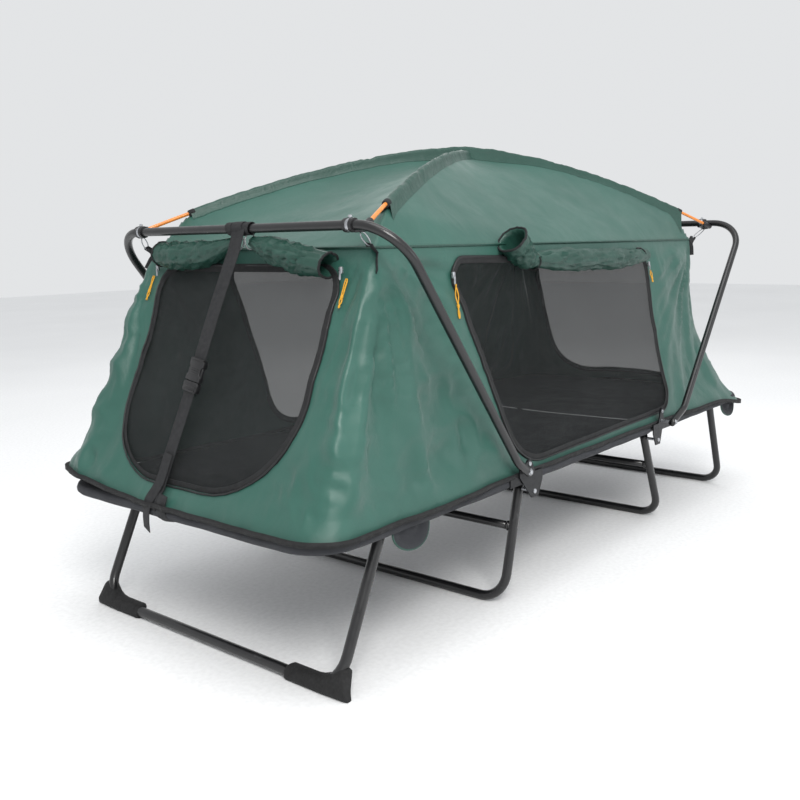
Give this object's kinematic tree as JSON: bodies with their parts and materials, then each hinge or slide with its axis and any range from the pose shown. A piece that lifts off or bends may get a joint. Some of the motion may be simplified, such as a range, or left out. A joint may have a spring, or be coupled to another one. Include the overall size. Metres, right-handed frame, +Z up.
{
  "type": "folding tent cot",
  "caption": "Raised folding bed frame of steel tube with splayed U-shaped legs, under a fabric canopy held by end bows and crossing poles, with mesh doors and side windows.",
  "frame": {"origin": "centre of the footprint at floor level, under the middle of the bed", "axes": "+Z up; +X from the strap-and-buckle foot end towards the head end; -Y is the near side"},
  "size_m": [2.05, 0.929, 1.0773],
  "materials": {
    "black_steel": "satin black powder coat on 22 mm and 19 mm steel tube",
    "bracket_steel": "satin black stamped plate",
    "zinc_pin": "bright zinc-plated pins and rivets",
    "deck_fabric": "dark grey coated polyester, matte",
    "green_nylon": "teal-green coated nylon, soft sheen and fine creases",
    "mesh_net": "charcoal insect mesh, half see-through",
    "webbing": "black ribbed webbing and binding",
    "black_plastic": "black moulded plastic",
    "fibreglass": "amber fibreglass rod",
    "black_rubber": "matte black rubber",
    "pull_cord": "yellow-orange braided cord"
  },
  "bodies": {
    "center_frame": {"center_rail_near": "black_steel", "center_rail_far": "black_steel", "center_deck": "deck_fabric", "roof_canopy": "green_nylon", "side_wall_near": "green_nylon", "side_wall_far": "green_nylon", "window_mesh_near": "mesh_net", "window_mesh_far": "mesh_net", "canopy_pole_a": "fibreglass", "canopy_pole_b": "fibreglass", "bracket_plate_foot_near": "bracket_steel", "bracket_plate_foot_far": "bracket_steel", "bracket_plate_head_near": "bracket_steel", "bracket_plate_head_far": "bracket_steel", "fold_pin_foot_near": "zinc_pin", "fold_pin_foot_far": "zinc_pin", "fold_pin_head_near": "zinc_pin", "fold_pin_head_far": "zinc_pin", "mid_leg_pin_foot_near": "zinc_pin", "mid_leg_pin_foot_far": "zinc_pin", "mid_leg_pin_head_near": "zinc_pin", "mid_leg_pin_head_far": "zinc_pin", "bow_pin_foot_near": "zinc_pin", "bow_pin_foot_far": "zinc_pin", "bow_pin_head_near": "zinc_pin", "bow_pin_head_far": "zinc_pin"},
    "foot_section": {"foot_section_rail": "black_steel", "foot_deck": "deck_fabric", "section_link_foot_near": "bracket_steel", "section_link_foot_far": "bracket_steel", "end_leg_pin_foot_near": "zinc_pin", "end_leg_pin_foot_far": "zinc_pin"},
    "foot_bow": {"foot_bow": "black_steel", "foot_wall": "green_nylon", "foot_door_mesh": "mesh_net", "pole_socket_foot_near": "black_plastic", "pole_socket_foot_far": "black_plastic", "strap_upper": "webbing", "strap_lower": "webbing", "buckle_housing": "black_plastic"},
    "foot_end_leg": {"foot_end_leg": "black_steel", "rubber_foot_near": "black_rubber", "rubber_foot_far": "black_rubber"},
    "foot_mid_leg": {"foot_mid_leg": "black_steel"},
    "head_section": {"head_section_rail": "black_steel", "head_deck": "deck_fabric", "section_link_head_near": "bracket_steel", "section_link_head_far": "bracket_steel", "end_leg_pin_head_near": "zinc_pin", "end_leg_pin_head_far": "zinc_pin"},
    "head_bow": {"head_bow": "black_steel", "head_wall": "green_nylon", "head_door_mesh": "mesh_net", "pole_socket_head_near": "black_plastic", "pole_socket_head_far": "black_plastic"},
    "head_end_leg": {"head_end_leg": "black_steel"},
    "head_mid_leg": {"head_mid_leg": "black_steel"},
    "buckle_insert": {"buckle_insert": "black_plastic"},
    "zip_pull_near": {"zip_pull_near": "pull_cord"},
    "zip_pull_far": {"zip_pull_far": "pull_cord"}
  },
  "joints": [
    {"name": "foot_bow_fold", "type": "hinge", "parent": "center_frame", "child": "foot_bow", "pos_m": [-0.385, 0, 0.323], "axis": [0, 1, 0], "range_deg": [0, 128.4], "deforming": ["roof_canopy", "side_wall_near", "side_wall_far", "window_mesh_near", "window_mesh_far", "foot_wall", "foot_door_mesh", "strap_upper", "strap_lower", "buckle_housing", "buckle_insert", "canopy_pole_a", "canopy_pole_b", "zip_pull_near", "zip_pull_far"]},
    {"name": "head_bow_fold", "type": "hinge", "parent": "center_frame", "child": "head_bow", "pos_m": [0.35, 0, 0.318], "axis": [0, -1, 0], "range_deg": [0, 127.5], "deforming": ["head_wall", "head_door_mesh"]},
    {"name": "foot_section_fold", "type": "hinge", "parent": "center_frame", "child": "foot_section", "pos_m": [-0.355, 0, 0.333], "axis": [0, 1, 0], "range_deg": [0, 180]},
    {"name": "head_section_fold", "type": "hinge", "parent": "center_frame", "child": "head_section", "pos_m": [0.355, 0, 0.344], "axis": [0, -1, 0], "range_deg": [0, 176]},
    {"name": "foot_end_leg_fold", "type": "hinge", "parent": "foot_section", "child": "foot_end_leg", "pos_m": [-0.823, 0, 0.286], "axis": [0, -1, 0], "range_deg": [0, 115.3]},
    {"name": "head_end_leg_fold", "type": "hinge", "parent": "head_section", "child": "head_end_leg", "pos_m": [0.823, 0, 0.286], "axis": [0, 1, 0], "range_deg": [0, 112]},
    {"name": "foot_mid_leg_fold", "type": "hinge", "parent": "center_frame", "child": "foot_mid_leg", "pos_m": [-0.334, 0, 0.265], "axis": [0, -1, 0], "range_deg": [0, 104]},
    {"name": "head_mid_leg_fold", "type": "hinge", "parent": "center_frame", "child": "head_mid_leg", "pos_m": [0.334, 0, 0.265], "axis": [0, 1, 0], "range_deg": [0, 114]},
    {"name": "buckle_release", "type": "slide", "parent": "foot_bow", "child": "buckle_insert", "axis": [-0.3209, 0.1504, -0.9351], "range_m": [0, 0.022]},
    {"name": "zip_pull_near_swing", "type": "hinge", "parent": "foot_bow", "child": "zip_pull_near", "pos_m": [-0.8169, -0.3, 0.7654], "axis": [0, 1, 0], "range_deg": [0, 70]},
    {"name": "zip_pull_far_swing", "type": "hinge", "parent": "foot_bow", "child": "zip_pull_far", "pos_m": [-0.8169, 0.3, 0.7654], "axis": [0, 1, 0], "range_deg": [0, 70]}
  ],
  "couplings": [
    {"joint": "head_bow_fold", "follows": "foot_bow_fold", "ratio": 0.99299}
  ]
}
